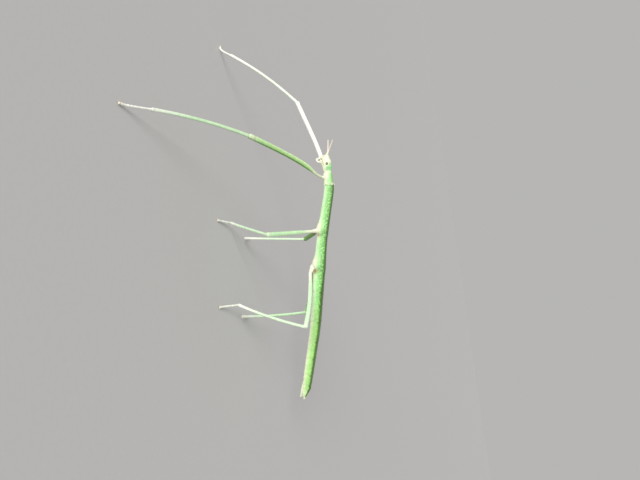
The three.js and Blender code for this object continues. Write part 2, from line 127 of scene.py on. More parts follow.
def onPath(path, share):  # the stretch that holds the place is found by halving
    want = clamp(share) * path["length"]
    index = 0
    low, high = 0, len(path["reached"]) - 2
    while low <= high:
        index = (low + high) // 2
        if path["reached"][index + 1] < want:
            low = index + 1
        elif path["reached"][index] > want:
            high = index - 1
        else:
            break
    a, b = path["points"][index], path["points"][index + 1]
    return a.lerp(b, (want - path["reached"][index]) / (b - a).length)


def wayOfPath(path, share, near=0.02):
    return (onPath(path, share + near) - onPath(path, share - near)).normalized()


def deselectAll():
    bpy.ops.object.select_all(action="DESELECT")


def keepOnly(piece):
    deselectAll()
    piece.select_set(True)
    bpy.context.view_layer.objects.active = piece


def newTube(name, sides, cuts):  # a closed cylinder, its long edges subdivided into rings
    deselectAll()
    bpy.ops.mesh.primitive_cylinder_add(vertices=sides, radius=1, depth=1, end_fill_type="TRIFAN")
    piece = bpy.context.object
    piece.name = name
    bpy.ops.object.mode_set(mode="EDIT")
    bpy.ops.mesh.select_mode(type="EDGE")
    bpy.ops.mesh.select_all(action="DESELECT")
    shell = bmesh.from_edit_mesh(piece.data)
    for edge in shell.edges:
        edge.select = abs(edge.verts[0].co.z - edge.verts[1].co.z) > 0.5
    bmesh.update_edit_mesh(piece.data)
    bpy.ops.mesh.subdivide(number_cuts=cuts)
    bpy.ops.object.mode_set(mode="OBJECT")
    return piece


# Shares from 0 to 1 on each vertex, from which the materials mix their colours. Limb sets the legs
# apart from the trunk, rear the yellower abdomen, and rough is for warts too small to model
# The dark green mark is partly painted shade: on the back's strip and on the legs' lower sides
markNames = ("dorsal", "cream", "mint", "pale", "brown", "limb", "rear", "rough")


def setMarks(piece, marks):
    for key, values in marks.items():
        layer = piece.data.attributes.new(key, "FLOAT", "POINT")
        layer.data.foreach_set("value", values)


def tubeFrom(name, rings, sides):  # each ring gives the place and the marks at an angle
    piece = newTube(name, sides, len(rings) - 2)
    marks = {key: [] for key in markNames}
    for vertex in piece.data.vertices:
        x, y, z = vertex.co
        ring = rings[round((z + 0.5) * (len(rings) - 1))]
        spot, values = ring(math.atan2(y, x), 0.0 if math.hypot(x, y) < 0.5 else 1.0)
        vertex.co = (spot + Vector(bodyLine["origin"])) * mm
        for key in markNames:
            marks[key].append(values.get(key, 0.0))
    setMarks(piece, marks)
    return piece


def flattened(c, s, square):  # a circle's two sides, squared off a little above 2
    return math.copysign(abs(c) ** (2 / square), c), math.copysign(abs(s) ** (2 / square), s)


domeAngles = [math.radians(a) for a in (80, 62, 42, 20)]  # of the rings that close a limb's ends


def noPush(share, angle):
    return 0


def evenMarks(**values):
    return lambda share, angle: values


# A limb along a path. shape(share) gives half its height, half its width and how square it is,
# marks(share, angle) the colours, push(share, angle) the relief. On the floor it is cut flat
def limbTube(name, path, up, shape, marks, count, sides, push=noPush, blunt=(0.7, 0.7), floor=None):
    def ringAt(share, past, narrow):
        centre, way = onPath(path, share), wayOfPath(path, share)
        across = way.cross(up).normalized()
        rise = across.cross(way).normalized()
        high, wide, square = shape(share)
        centre = centre + way * past * high

        def ring(angle, radial):
            c, s = math.cos(angle), math.sin(angle)
            swell = push(share, angle)
            lift, aside = flattened(c, s, square)
            spot = centre + (rise * (lift * high + c * swell)
                             + across * (aside * wide + s * swell)) * narrow * radial
            if floor is not None:
                spot.z = max(spot.z, floor)
            return spot, marks(share, angle)

        return ring

    rings = [ringAt(0, -math.sin(a) * blunt[0], math.cos(a)) for a in domeAngles]
    rings += [ringAt(i / (count - 1), 0, 1) for i in range(count)]
    rings += [ringAt(1, math.sin(a) * blunt[1], math.cos(a)) for a in reversed(domeAngles)]
    return tubeFrom(name, rings, sides)


def finishMesh(piece):
    keepOnly(piece)
    bpy.ops.object.mode_set(mode="EDIT")
    bpy.ops.mesh.select_all(action="SELECT")
    bpy.ops.mesh.remove_doubles(threshold=1e-7)
    bpy.ops.mesh.normals_make_consistent(inside=False)
    bpy.ops.object.mode_set(mode="OBJECT")
    bpy.ops.object.shade_smooth()
    return piece


def joined(name, pieces):
    deselectAll()
    for piece in pieces:
        piece.select_set(True)
    bpy.context.view_layer.objects.active = pieces[0]
    bpy.ops.object.join()
    pieces[0].name = pieces[0].data.name = name
    return pieces[0]


# Half sizes of the head up, down and to the side at a distance, and what stands out of it
head = {
    "length": 3.75,
    "up": ((0, 0.24), (0.2, 0.35), (0.6, 0.43), (1.1, 0.58), (1.7, 0.83), (2.3, 0.91), (3.1, 0.91),
           (3.75, 0.82)),
    "down": ((0, 0.28), (0.2, 0.6), (0.6, 0.9), (1.1, 1.14), (1.7, 1.26), (2.3, 1.2), (3.1, 1.02),
             (3.75, 0.9)),
    "wide": ((0, 0.38), (0.2, 0.56), (0.6, 0.72), (1.1, 0.83), (1.7, 0.9), (2.3, 0.91), (3.1, 0.86),
             (3.75, 0.76)),
    "smoothing": (-0.16, -0.08, 0, 0.08, 0.16),  # distances that the half sizes are averaged over
    "square": 2.3,
    # low forms: place along, up and aside, size of each, and how far they stand out
    "forms": (
        ((0.16, 0.12, 0.30), (0.20, 0.20, 0.18), 0.07),  # socket of the feeler
        ((1.48, 0.75, 0.25), (0.16, 0.25, 0.30), 0.10),  # brow
        ((2.35, 0.95, 0.05), (0.50, 0.25, 0.10), -0.03),  # parting of the crown
        ((3.2, 0.85, 0.2), (0.20, 0.30, 0.35), 0.10),  # nape
        ((1.30, -0.45, 0.85), (0.45, 0.30, 0.30), 0.05),  # cheek
        ((0.72, -0.85, 0.52), (0.28, 0.30, 0.26), 0.05),  # root of the jaw
        ((0.62, -0.25, 0.70), (0.20, 0.16, 0.25), -0.04),  # hollow in front of the cheek
        ((2.70, -0.95, 0.45), (0.45, 0.35, 0.40), -0.04),  # throat
    ),
    # the seam between the cheek and the mouth parts, from and to (along, up)
    "seam": {"from": (1.35, -1.0), "to": (2.55, -0.42), "width": 0.07, "depth": 0.06, "brown": 0.6},
    "fleck": {"at": 2.88, "up": 0.15, "size": 0.14, "dorsal": 0.6},  # a dark spot behind the eye
}
eye = {
    "at": 2.06, "up": 0.08, "aside": 0.755, "radius": 0.29,
    "socket": ((0.36, 0.08, 0.05), (0, 0.22, -0.05)),  # rim and hollow: distance, width, height
}

segments = (  # name, length, and half sizes up, down and to the side, each from front to rear
    ("prothorax", 2.3, (0.86, 0.98), (0.84, 0.86), (0.78, 0.94)),
    ("mesothorax", 10.95, (1.16, 1.3), (0.86, 0.92), (0.96, 1.12)),
    ("metathorax", 7.0, (1.26, 1.44), (0.92, 1.08), (1.12, 1.24)),
    ("median_segment", 1.25, (1.42, 1.38), (1.08, 1.06), (1.24, 1.22)),
    ("abdomen_2", 3.1, (1.38, 1.34), (1.06, 1.04), (1.24, 1.22)),
    ("abdomen_3", 3.05, (1.34, 1.3), (1.04, 1.02), (1.22, 1.2)),
    ("abdomen_4", 3.2, (1.3, 1.28), (1.02, 1.0), (1.2, 1.18)),
    ("abdomen_5", 4.05, (1.28, 1.22), (0.98, 0.93), (1.18, 1.13)),
    ("abdomen_6", 3.75, (1.22, 1.16), (0.93, 0.9), (1.13, 1.08)),
    ("abdomen_7", 3.4, (1.16, 1.12), (0.9, 0.87), (1.08, 1.0)),
    ("abdomen_8", 2.0, (1.1, 1.08), (0.86, 0.8), (0.98, 0.88)),
    ("abdomen_9", 1.1, (1.06, 1.02), (0.76, 0.72), (0.84, 0.76)),
    ("abdomen_10", 1.85, (0.98, 0.2), (0.68, 0.5), (0.72, 0.44)),
)
trunk = {
    "sides": 56,
    "step": 0.13,
    "square": 2.2,
    "waist": 0.012,  # how much a segment narrows at its middle
    "grooves": {"prothorax": 0.16, "mesothorax": 0.12, "metathorax": 0.08, "median_segment": 0.04},
    "groove": 0.07,  # at the other joints
    "grooveWidth": 0.075,
    "rims": ((-0.24, 0.13, 0.035), (0.22, 0.12, 0.014)),  # place from a joint, width and height
    # ridges: angle from the back, width, height, and their share on the thorax and on the abdomen
    "ridges": (
        (0.0, 0.12, 0.04, 1.0, 0.6),  # the fine keel along the back
        (1.22, 0.14, 0.035, 0.9, 0.8),  # side ridge
        (1.9, 0.12, -0.03, 1.0, 0.5),  # fold between the side plates and the belly
        (2.35, 0.16, 0.02, 1.0, 1.0),  # edge of the belly plates
        (0.62, 0.12, 0.018, 0.0, 1.0),  # line along the flank of the abdomen
    ),
    "knots": {"angle": 1.22, "width": 0.2, "height": 0.016},  # along the side ridge
    "uneven": 0.014,
    "nearJoint": (0, 0.03, 0.07, 0.12, 0.18, 0.26, 0.36),  # rings on both sides of a joint
    # rings that close the ends: distance from the end and share of the full size
    "frontEnd": ((0.0, 0.3), (0.01, 0.6), (0.04, 0.84), (0.08, 0.96)),
    "rearEnd": ((0.08, 0.95), (0.04, 0.82), (0.015, 0.6), (0.0, 0.3)),
}

trunkStarts = {}
tailEnd = head["length"]
for name, length, *rest in segments:
    trunkStarts[name] = tailEnd
    tailEnd += length
joints = list(trunkStarts.values())

# Per pair of legs: the hip's place, the lengths of thigh (from hip to knee), shin and tarsus, the
# length and width of the coxa, widths of the femur at root, middle and knee, width and bow of the
# tibia. Swell is how much, how far ahead and how far behind the trunk swells, in coxa widths
# The coxa's brown share is painted shade in its waist and underneath
legPairs = {
    "fore": {
        "at": 5.05, "below": 0.5, "aside": 0.5, "swell": (0.3, 0.9, 1.2), "coxa": (1.3, 0.95),
        "thigh": 19.6, "femur": (0.54, 0.92, 0.96), "shin": 18.7, "tibia": (0.58, 0.5), "tarsus": 5.5,
        "coxaPaintedShade": 0.25,
    },
    "mid": {
        "at": 15.85, "below": 0.6, "aside": 0.6, "swell": (0.42, 1.4, 0.6), "coxa": (1.35, 1.05),
        "thigh": 12.3, "femur": (0.68, 0.84, 0.98), "shin": 13.8, "tibia": (0.56, 0.2), "tarsus": 4.3,
        "coxaPaintedShade": 0.6,
    },
    "hind": {
        "at": 23.0, "below": 0.95, "aside": 0.6, "swell": (0.45, 1.3, 0.5), "coxa": (1.6, 1.15),
        "thigh": 14.3, "femur": (0.66, 0.8, 0.94), "shin": 15.6, "tibia": (0.54, 0.35), "tarsus": 5.0,
        "coxaPaintedShade": 0.6,
    },
}


def rootSwelling(at):  # how far the trunk swells around the leg roots
    total = 0
    for pair in legPairs.values():
        swell, ahead, behind = [share * pair["coxa"][1] for share in pair["swell"]]
        total += swell * bell(at, pair["at"], ahead if at < pair["at"] else behind)
    return total


def sizesAt(at):  # half sizes up, down and to the side, before the grooves
    if at < head["length"]:
        near = [clamp(at + d, 0.0, head["length"] - 0.01) for d in head["smoothing"]]
        return [sum(along(head[key], n) for n in near) / len(near) for key in ("up", "down", "wide")]
    for name, length, *sizes in segments:
        if at <= trunkStarts[name] + length or name == segments[-1][0]:
            share = clamp((at - trunkStarts[name]) / length)
            waist = trunk["waist"] * math.sin(math.pi * share)
            swell = rootSwelling(at)
            return [mix(*size, share) - waist + more for size, more in zip(sizes, (0, swell, swell))]


def trunkReach(at):
    joint = min(joints, key=lambda j: abs(j - at))
    name = segments[joints.index(joint)][0]
    depth = trunk["grooves"].get(name, trunk["groove"])
    neck = [min(a, b) - depth for a, b in zip(sizesAt(joint - 0.001), sizesAt(joint + 0.001))]
    near = bell(at, joint, trunk["grooveWidth"])
    rim = sum(high * bell(at, joint + off, width) for off, width, high in trunk["rims"])
    return [mix(size + rim, low, near) for size, low in zip(sizesAt(at), neck)]


def seamAt(at, high):  # 1 on the seam between the cheek and the mouth parts
    (a, low), (b, top) = head["seam"]["from"], head["seam"]["to"]
    share = clamp(((at - a) * (b - a) + (high - low) * (top - low)) / ((b - a) ** 2 + (top - low) ** 2))
    far = math.hypot(at - mix(a, b, share), high - mix(low, top, share))
    return bell(far, 0, head["seam"]["width"])


def headPush(at, high, aside):
    push = sum(
        out * math.prod(bell(*row) for row in zip((at, high, aside), place, size))
        for place, size, out in head["forms"]
    )
    if aside > 0.5:
        far = math.hypot(at - eye["at"], high - eye["up"])
        push += sum(out * bell(far, place, width) for place, width, out in eye["socket"])
    return push - head["seam"]["depth"] * seamAt(at, high)


def trunkPush(at, angle):
    turned = abs(angle)
    thorax = ease(at, 6.1, 7.5) * (1 - ease(at, 23.5, 26))
    rear = ease(at, 24, 27) * (1 - ease(at, 47, 49))
    push = sum(
        high * bell(turned, place, width) * (onThorax * thorax + onRear * rear)
        for place, width, high, onThorax, onRear in trunk["ridges"]
    )
    knots = trunk["knots"]
    knotted = 0.5 + 0.5 * math.sin(at * 7.3 + 1.7 * math.sin(at * 2.1))  # at uneven distances
    onRidge = bell(turned, knots["angle"], knots["width"]) * (thorax + 0.4 * rear)
    push += knots["height"] * knotted * onRidge
    return push + trunk["uneven"] * noise.noise(Vector((at * 1.6, angle * 1.5, 3.0)))


def trunkPoint(at, angle, narrow=1.0):
    high, low, wide = trunkReach(at)
    c, s = math.cos(angle), math.sin(angle)
    inHead = at < head["length"]
    lift, aside = flattened(c, s, head["square"] if inHead else trunk["square"])
    lift *= high if c > 0 else low
    aside *= wide
    if inHead:
        push = headPush(at, lift, abs(aside)) * ease(at, -0.05, 0.12)
    else:
        push = trunkPush(at, angle)
    return beside(at, (lift + c * push) * narrow, (aside + s * push) * narrow), lift


def headMarks(at, lift):  # cream, with a green crown that comes down behind the eye
    low = mix(0.1, -0.6, ease(at, 2.1, 2.6))
    crown = ease(lift, low, low + 0.8) * ease(at, 1.5, 2.3) * (1 - 0.8 * ease(at, 3.3, 3.75))
    fleck = head["fleck"]
    spot = bell(at, fleck["at"], fleck["size"]) * bell(lift, fleck["up"], fleck["size"])
    return {
        "dorsal": 0.4 * crown + fleck["dorsal"] * spot,
        "rough": 0.7 * crown,
        "cream": clamp(1 - crown - spot),
        "brown": head["seam"]["brown"] * seamAt(at, lift) * (1 if at < head["length"] else 0),
        "mint": 0.7 * crown * (1 - 0.8 * spot),
    }


# The trunk is pale below, bright green from the side up, with a dark strip along the back, which is
# partly painted shade of the unlit back. Angles are from the back's middle line
colouring = {
    # strength of a green, angles where it starts and ends to fade, how much wider it is to the rear
    "back": ((0.42, 1.4, 1.8, 0), (0.22, 0.55, 0.95, 0.22), (0.36, 0.38, 0.75, 0.22)),
    # the belly's cream is partly painted light of the lit underside
    "belly": (1.6, 2.3),  # where its cream begins and is full
    "legRoots": {"cream": 0.9, "ahead": 0.4, "length": 1.25, "angles": (1.3, 1.9)},
    "neck": {"cream": 0.5, "angles": (1.0, 1.8)},
    "tick": {"length": 0.09, "dorsal": 0.6, "angles": (0.9, 2.1), "width": 0.2},  # at each joint
    # brown painted shade behind the leg roots, on the body's lower side: at, length, angle, width,
    # strength
    "legRootShadows": ((24.1, 0.55, 1.95, 0.42, 1.0), (16.7, 0.4, 1.95, 0.4, 0.75)),
}


def trunkMarks(at, angle, lift):
    if at < head["length"] + 0.1:
        return headMarks(at, lift)
    turned = abs(angle)
    rear = ease(at, 28, 37)
    wider = ease(at, 23, 30)
    behindNeck = ease(at, 5.9, 6.3)
    # the dark slanting edge at the tail's end is painted shade of its cut-off end
    last = ease(at, 48.7, 49.1)  # the tail's end: a dark slanting edge over whitish sides
    joint = min(abs(at - j) for j in joints)
    # the dark strip along the back, partly painted shade
    dorsal = sum(
        strength * (1 - ease(turned, start + more * wider, end + more * wider))
        for strength, start, end, more in colouring["back"]
    )
    # pale belly, partly painted light
    cream = mix(0.3, 0.85, ease(at, 25, 34)) * ease(turned, *colouring["belly"])
    cream += 0.35 * last * ease(turned, 0.9, 1.2)
    roots = colouring["legRoots"]
    for pair in legPairs.values():
        near = bell(at, pair["at"] - roots["ahead"], roots["length"])
        cream += roots["cream"] * near * ease(turned, *roots["angles"])
    neck = colouring["neck"]
    cream += neck["cream"] * (1 - ease(at, 4.0, 5.6)) * ease(turned, *neck["angles"])
    tick = colouring["tick"]
    ticked = bell(joint, 0, tick["length"]) * sum(
        tick["dorsal"] * bell(turned, place, tick["width"]) for place in tick["angles"])
    dorsal *= mix(0.5, 1, behindNeck)
    dorsal += 0.7 * ticked + 0.5 * last * (1 - ease(turned, 0.7, 1.0))
    rough = 0.6 * ease(dorsal, 0.2, 0.5) + 0.7 * bell(turned, 0.8, 0.4)
    return {
        "dorsal": clamp(dorsal),
        "cream": clamp(cream + 0.3 * bell(joint, 0, 0.12) * (1 - clamp(dorsal))),
        # brown painted shade behind the leg roots
        "brown": sum(strength * bell(at, place, length) * bell(turned, side, width)
                     for place, length, side, width, strength in colouring["legRootShadows"]),
        "rear": rear * (1 - 0.9 * ease(dorsal, 0.5, 0.85)),
        "rough": rough * mix(0.3, 1, behindNeck) * (1 - 0.6 * rear),
    }


def trunkRing(at, narrow=1.0):
    def ring(angle, radial):
        spot, lift = trunkPoint(at, angle, narrow * radial)
        return spot, trunkMarks(at, angle, lift)

    return ring


def trunkPlaces():  # evenly apart, and closer at the joints
    places = [trunk["step"] * i for i in range(1, int(tailEnd / trunk["step"]))]
    for joint in joints:
        places = [p for p in places if abs(p - joint) > 0.4]
        places += {joint + side * d for d in trunk["nearJoint"] for side in (-1, 1)}
    first, last = trunk["frontEnd"][-1][0], trunk["rearEnd"][0][0]
    return [p for p in sorted(places) if first + 0.02 < p < tailEnd - last - 0.04]


def makeTrunk():  # head and trunk in one, from the mouth to the tip of the tail
    rings = [trunkRing(at, narrow) for at, narrow in trunk["frontEnd"]]
    rings += [trunkRing(at) for at in trunkPlaces()]
    rings += [trunkRing(tailEnd - left, narrow) for left, narrow in trunk["rearEnd"]]
    print("trunk made,", len(rings), "rings")
    return tubeFrom("trunk", rings, trunk["sides"])


# Places are along, up and aside from the front of the head, sizes are half sizes
mouth = {
    "lip": {"at": 0.36, "down": 0.5, "length": 0.82, "wide": 0.4, "thick": 0.17, "notch": 0.03},
    "jaw": {"at": 0.62, "down": 0.8, "aside": 0.3, "length": 0.75, "high": 0.32, "wide": 0.24},
    "palp": ((1.7, -1.05, 0.42), (1.66, -2.42, 0.47), (0.52, -2.5, 0.47), (0.84, -1.35, 0.42)),
    "palpThick": 0.12,
    "lowerPalp": ((2.0, -1.15, 0.2), (1.7, -1.75, 0.24), (1.3, -1.65, 0.26)),
    "lowerPalpThick": 0.085,
    "lobe": ((1.75, -0.9, 0.26), (1.55, -1.15, 0.28), (1.15, -1.32, 0.26)),  # between jaw and palps
    "lobeHigh": 0.24,
    "lobeWide": 0.18,
}


def headPath(places, side):
    return smoothPath([beside(at, up, side * aside) for at, up, aside in places])


def palpShape(thick):  # short joints, each a little wider at its far end
    def shape(share):
        half = thick * (1 + 0.16 * math.sin(2 * math.pi * (share * 4 - 0.25)))
        return half, half, 2

    return shape


def jawOf(side):
    jaw = mouth["jaw"]
    path = headPath((
        (jaw["at"] + 0.35, -jaw["down"] + 0.3, jaw["aside"] + 0.12),
        (jaw["at"] + 0.1, -jaw["down"] - 0.2, jaw["aside"] + 0.12),
        (jaw["at"], -jaw["down"] - jaw["length"] * 0.55, jaw["aside"] * 0.25),
    ), side)
    return limbTube("jaw", path, Vector((1, 0, 0)),
                    lambda share: (jaw["high"] * (1 - share / 2), jaw["wide"] * (1 - share / 2), 2.2),
                    lambda share, angle: {"cream": 1.0, "brown": 0.1 * ease(share, 0.8, 1.0)}, 20, 16)


def makeLip():  # a plate with a shallow groove across its middle
    lip = mouth["lip"]
    path = headPath((
        (lip["at"] - 0.05, -lip["down"] + 0.25, 0),
        (lip["at"] - 0.02, -lip["down"] - 0.2, 0),
        (lip["at"] + 0.08, -lip["down"] - lip["length"], 0),
    ), 1)

    def shape(share):
        return lip["thick"], lip["wide"] * (1 - 0.25 * share ** 2) - 0.04 * bell(share, 0.5, 0.05), 2.8

    return limbTube("lip", path, Vector((1, 0, 0)), shape, evenMarks(cream=1.0, brown=0.05), 30, 22,
                    lambda share, angle: -lip["notch"] * bell(share, 0.5, 0.05))


def makeMouth():  # upper lip, jaws, lobes and the jointed palps
    outward = Vector((0, 1, 0))
    pieces = []
    for side in (-1, 1):
        pieces += [
            limbTube("palp", headPath(mouth["palp"], side), outward, palpShape(mouth["palpThick"]),
                     evenMarks(cream=0.9, pale=0.5), 64, 14),
            limbTube("lowerPalp", headPath(mouth["lowerPalp"], side), outward,
                     palpShape(mouth["lowerPalpThick"]), evenMarks(cream=1.0), 24, 12),
            limbTube("lobe", headPath(mouth["lobe"], side), outward,
                     lambda share: (mouth["lobeHigh"] * (1 - share / 2), mouth["lobeWide"], 2.2),
                     evenMarks(cream=1.0, pale=0.3), 24, 14),
            jawOf(side),
        ]
    return pieces + [makeLip()]


def makeTailFeelers():
    pieces = []
    for side in (-1, 1):
        base = beside(tailEnd - 0.45, 0.02, side * 0.27)
        way, rise = onLine(tailEnd - 0.35)[1:]
        path = smoothPath([base, base + way * 0.4, base + way * 0.7 - rise * 0.03])
        pieces.append(limbTube(
            "cercus", path, upward, lambda share: (0.2 - 0.08 * share ** 2, 0.2 - 0.08 * share ** 2, 2),
            evenMarks(cream=0.6, rear=1.0, dorsal=0.2), 16, 14))
    return pieces


skinPieces = [makeTrunk()] + makeMouth() + makeTailFeelers()
print("mouth and tail made")

# Per leg: where the ankle is, which way the knee bends, how far the coxa leans to the head and
# drops, how far the femur runs on in the coxa's direction, where its middle is and how far it
# arches, how far the tibia sways, where the femur's neck ends and its full width starts, and the
# heading of the toes in degrees. The rest are shares of colour, the shin's for the tibia alone. The
# far legs' darker share is painted shade
usualStance = {"lean": 0, "bow": 0.5, "middle": 0.5, "arch": (0, 0, 0), "sway": 0, "neck": (0.13, 0.3),
               "farSideShade": 0, "pale": 0}
stances = [{**usualStance, **own} for own in (
    {
        "pair": "fore", "side": "left", "ankle": (-22.32, -31.12, 2.7), "bend": (-0.94, 0.17, 0.29),
        "lean": -0.26, "drop": -0.28, "bow": 5.59, "middle": 0.2, "arch": (0, 3, 1.85), "sway": 0.23,
        "neck": (0.15, 0.26), "toes": -95, "mint": 0.05, "shinMint": 0.75, "shinPale": 0.3,
    },
    {
        # the right fore leg's near-white is painted light; the living leg is green
        "pair": "fore", "side": "right", "ankle": (-41.85, 4.64, 3.5), "bend": (-0.37, 0.56, 0.74),
        "lean": 1.5, "drop": 0.1, "bow": 5, "arch": (0, 0, 0.4), "sway": -0.34,
        "neck": (0.08, 0.15), "toes": 140, "mint": 1.0, "shinMint": 1.0, "pale": 1.0, "shinPale": 0.8,
    },
    {
        "pair": "mid", "side": "left", "ankle": (-4.6, -2.2, 1.0), "bend": (0.17, -0.98, 0.05),
        "drop": 0.3, "toes": -98, "mint": 0.75, "shinMint": 0.9, "pale": 0.15, "shinPale": 0.4,
    },
    {
        "pair": "mid", "side": "right", "ankle": (-1.2, 3.9, 1.15), "bend": (0.16, 0.97, 0.17),
        "drop": 0.3, "toes": 91, "mint": 0.0, "shinMint": 0.9, "farSideShade": 1, "shinPale": 0.55,
    },
    {
        "pair": "hind", "side": "left", "ankle": (12.3, -6.4, 2.0), "bend": (0.71, -0.53, 0.46),
        "lean": -0.2, "drop": 0.43, "arch": (0, 0, 0.95),
        "toes": -95, "mint": 0.95, "shinMint": 1.0, "pale": 0.32, "shinPale": 0.5,
    },
    {
        "pair": "hind", "side": "right", "ankle": (15.1, -3.0, 1.0), "bend": (0.59, 0.804, 0.075),
        "lean": -0.2, "drop": 0.59, "arch": (0, 0, 1.25),
        "toes": 83, "mint": 0.5, "shinMint": 0.95, "farSideShade": 0.4, "shinPale": 0.3,
    },
)]

# Angles around a limb are from its upper side, shares run from its root to its end
femur = {
    "sides": 28,
    "rings": 118,
    "keels": (0.8, -0.8, 2.3, -2.3),
    "flanks": (1.57, -1.57),
    "undersides": (2.3, -2.3),
    "keel": 0.035,
    "flat": 0.015,  # how far the flanks lie in
    "teeth": {"count": 17, "height": 0.02},  # fine saw along the underside
    "midTeeth": {"count": 13, "height": 0.085},  # coarser on the middle legs
    "largeTeeth": {"at": (0.2, 0.48), "height": 0.14},  # on the rear edge of the middle legs
    "kneeLobe": 0.05,
    "kneeGroove": 0.045,
    "grooveAt": 0.945,
}
tibia = {
    "sides": 20,
    "rings": 104,
    "widths": ((0, 0.52), (0.02, 0.58), (0.07, 0.51), (0.5, 0.49), (0.92, 0.49), (0.97, 0.56),
               (1, 0.54)),
    "keel": 0.016,
    "teeth": {"count": 30, "height": 0.012},
}
foot = {
    "sides": 18,
    "rings": 110,
    "soleHeight": 0.19,  # of a foot's own line where it stands
    "joints": (0.36, 0.53, 0.66, 0.77),
    "tip": 0.985,
    "thick": 0.21,
}
coxa = {
    "sides": 26,
    "rings": 40,
    "widths": ((0, 0.49), (0.3, 0.49), (0.5, 0.45), (0.6, 0.4), (0.64, 0.36), (0.68, 0.37),
               (0.85, 0.38), (1, 0.34)),
    "waist": 0.64,  # it parts the coxa from the ring that carries the femur
    "ridges": (0.3, 1.6, -1.3, 2.8),
    "ridge": 0.02,
}


def kneeOf(root, ankle, thigh, shin, bend):
    chord = (ankle - root).normalized()
    span = (ankle - root).length
    way = (thigh ** 2 - shin ** 2 + span ** 2) / (2 * span)
    out = (bend - chord * bend.dot(chord)).normalized()
    return root + chord * way + out * math.sqrt(thigh ** 2 - way ** 2)


def femurOf(stance, pair, path, up):
    base, middle, knee = [size / 2 for size in pair["femur"]]
    neck, swell = stance["neck"]
    rows = ((0, base), (neck, base), (swell, middle), (0.6, middle), (0.9, (middle + knee) / 2),
            (1, knee))
    ofMiddleLeg = stance["pair"] == "mid"
    saw = femur["midTeeth" if ofMiddleLeg else "teeth"]
    rearward = femur["flanks"][1 if stance["side"] == "left" else 0]

    def shape(share):
        half = sum(along(rows, share + d) for d in (-0.03, 0, 0.03)) / 3 - 0.015
        return half * 1.02, half * 0.96, 2.5

    def push(share, angle):
        flank = ridgesAt(angle, femur["flanks"], 0.35)
        out = femur["keel"] * ridgesAt(angle, femur["keels"], 0.24) * ease(share, swell * 0.5, swell)
        out -= femur["flat"] * flank
        teeth = max(0.0, math.sin(2 * math.pi * share * saw["count"])) ** 3
        toothed = ease(share, 0.3, 0.4) * (1 - ease(share, 0.86, 0.92))
        out += saw["height"] * teeth * ridgesAt(angle, femur["undersides"], 0.28) * toothed
        if ofMiddleLeg:
            large = sum(bell(share, place, 0.012) for place in femur["largeTeeth"]["at"])
            out += femur["largeTeeth"]["height"] * large * ridgesAt(angle, (rearward,), 0.45)
        sides = flank + 0.4 * ridgesAt(angle, (0,), 0.6)
        out += femur["kneeLobe"] * bell(share, 0.975, 0.018) * sides
        out -= femur["kneeGroove"] * bell(share, femur["grooveAt"], 0.008)
        return out + 0.008 * noise.noise(Vector((share * 30, angle, stance["toes"])))

    def marks(share, angle):
        below = 0.5 - 0.5 * math.cos(angle)
        knees = bell(share, 0.97, 0.045)
        # the lower side is darker: painted shade, less on the pale legs
        shade = 0.9 * below ** 1.2 * (1 - stance["pale"])
        # the far legs are darker green with a brown base: painted shade
        root = (1 - stance["farSideShade"]) * (1 - ease(share, neck * 0.6, swell))
        shadedBase = stance["farSideShade"] * (1 - ease(share, 0.05, 0.3))
        return {
            "limb": 1.0,
            "mint": clamp(stance["mint"] + 0.25 * ease(share, 0.6, 1)),
            "dorsal": clamp(shade + 0.06 + 0.6 * stance["farSideShade"]),
            # pale on the right fore leg is painted light
            "pale": clamp(stance["pale"] + 0.3 * bell(share, 0, 0.06) + 0.12 * knees),
            "cream": 0.8 * root + 0.4 * knees,
            "brown": 0.25 * bell(share, femur["grooveAt"], 0.01) + 0.75 * shadedBase,
        }

    return limbTube("femur", path, up, shape, marks, femur["rings"], femur["sides"], push, (0.6, 0.55))


def tibiaOf(stance, pair, path, up):
    thick = pair["tibia"][0]

    def shape(share):
        half = thick * along(tibia["widths"], share)
        return half * 1.04, half * 0.92, 2.3

    def push(share, angle):
        teeth = max(0.0, math.sin(2 * math.pi * share * tibia["teeth"]["count"])) ** 2
        teeth *= ridgesAt(angle, (2.3,), 0.3) * ease(share, 0.1, 0.2)
        return tibia["keel"] * ridgesAt(angle, femur["keels"], 0.3) + tibia["teeth"]["height"] * teeth

    def marks(share, angle):
        # the lower side is darker: painted shade
        below = 0.5 - 0.5 * math.cos(angle)
        return {
            "limb": 1.0,
            "mint": clamp(stance["shinMint"] + 0.3 * share),
            "dorsal": 0.25 + 0.35 * below * (1 - stance["shinPale"]),
            # paler toward the tip: painted light
            "pale": clamp(stance["shinPale"] + 0.5 * ease(share, 0.55, 1.0)),
            "cream": 0.2 * ease(share, 0.9, 1.0) + 0.15 * bell(share, 0.01, 0.02),
            "brown": 0.2 * bell(share, 0.99, 0.012),
        }

    return limbTube("tibia", path, up, shape, marks, tibia["rings"], tibia["sides"], push, (0.5, 0.45))


def footOf(path):
    def shape(share):
        ahead = min(abs(share - j) for j in foot["joints"])
        behind = max(bell(share, j - 0.025, 0.025) for j in foot["joints"] + (foot["tip"],))
        half = foot["thick"] * (0.88 + 0.2 * behind - 0.14 * bell(ahead, 0, 0.009))
        return half * (1 + 0.1 * (1 - share)), half * 1.04, 2.3

    def marks(share, angle):
        near = min(abs(share - j) for j in foot["joints"])
        # the whitish tarsus is painted light
        return {"limb": 1.0, "mint": 0.6, "pale": 1.0, "brown": 0.06 * bell(near, 0, 0.012)}

    return limbTube("tarsus", path, upward, shape, marks, foot["rings"], foot["sides"],
                    blunt=(0.6, 0.7), floor=0.0)


